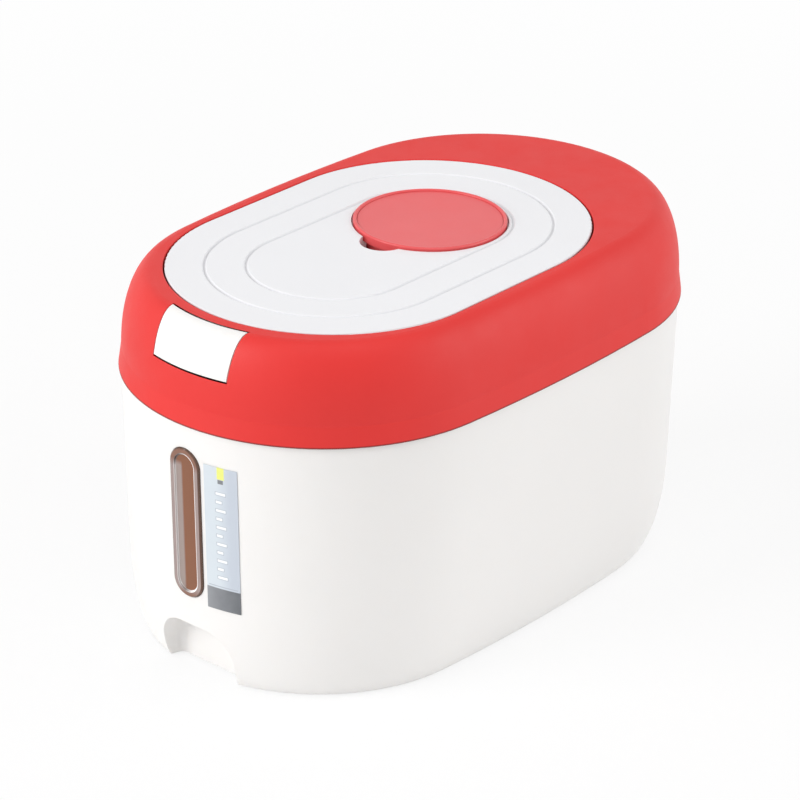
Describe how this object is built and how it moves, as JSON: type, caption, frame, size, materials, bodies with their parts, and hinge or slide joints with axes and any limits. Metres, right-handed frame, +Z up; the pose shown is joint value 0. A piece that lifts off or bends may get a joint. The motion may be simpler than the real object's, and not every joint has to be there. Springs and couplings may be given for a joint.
{
  "type": "rice storage bin",
  "caption": "Oval rice storage bin with a flush flip lid on a hidden hinge, a push-button latch, a level window and a measuring cup stowed in the lid.",
  "frame": {"origin": "on the ground, midway along the bin's length and width", "axes": "+Z up, -Y towards the front with the button and the level window, +X to the right of someone who stands behind it, facing the front"},
  "size_m": [0.188, 0.3, 0.1745],
  "materials": {
    "white_shell": "satin white",
    "white_lid": "satin white",
    "red_shell": "satin red",
    "red_cup": "satin red",
    "smoked": "polished, smoked brown",
    "strip": "printed film",
    "silicone": "matt",
    "pads": "matt",
    "steel": "bright",
    "inner": "matt"
  },
  "bodies": {
    "tub": {"tub": "white_shell", "level_window": "smoked", "window_seal": "silicone", "scale_strip": "strip", "foot_pads": "pads"},
    "collar": {"collar": "red_shell", "rim_seal": "silicone", "hinge_pin": "steel", "hinge_springs": "steel", "hinge_cover": "red_shell", "latch_cover": "inner", "latch_spring": "steel", "cover_screws": "steel"},
    "lid": {"lid_panel": "white_lid", "lid_liner": "white_lid", "lid_seal": "silicone", "hinge_bracket": "white_lid", "lid_screws": "steel"},
    "button": {"release_button": "white_lid"},
    "latch": {"latch_slider": "inner"},
    "cup": {"measuring_cup": "red_cup"},
    "cap": {"cup_cap": "red_cup"}
  },
  "joints": [
    {"name": "collar_lift", "type": "slide", "parent": "tub", "child": "collar", "axis": [0, 0, 1], "range_m": [0, 0.06]},
    {"name": "lid_hinge", "type": "hinge", "parent": "collar", "child": "lid", "pos_m": [0, 0.105, 0.165], "axis": [-1, 0, 0], "range_deg": [0, 85]},
    {"name": "button_press", "type": "slide", "parent": "collar", "child": "button", "axis": [0, 0.866, -0.5], "range_m": [0, 0.0035], "stiffness_N_per_m": 900},
    {"name": "latch_slide", "type": "slide", "parent": "collar", "child": "latch", "axis": [0, 1, 0], "range_m": [0, 0.00303], "deforming": ["latch_spring"]},
    {"name": "cup_lift", "type": "slide", "parent": "lid", "child": "cup", "axis": [0, 0, 1], "range_m": [0, 0.07]},
    {"name": "cap_lift", "type": "slide", "parent": "cup", "child": "cap", "axis": [0, 0, 1], "range_m": [0, 0.03]}
  ],
  "couplings": [
    {"joint": "latch_slide", "follows": "button_press", "ratio": 0.86603}
  ]
}
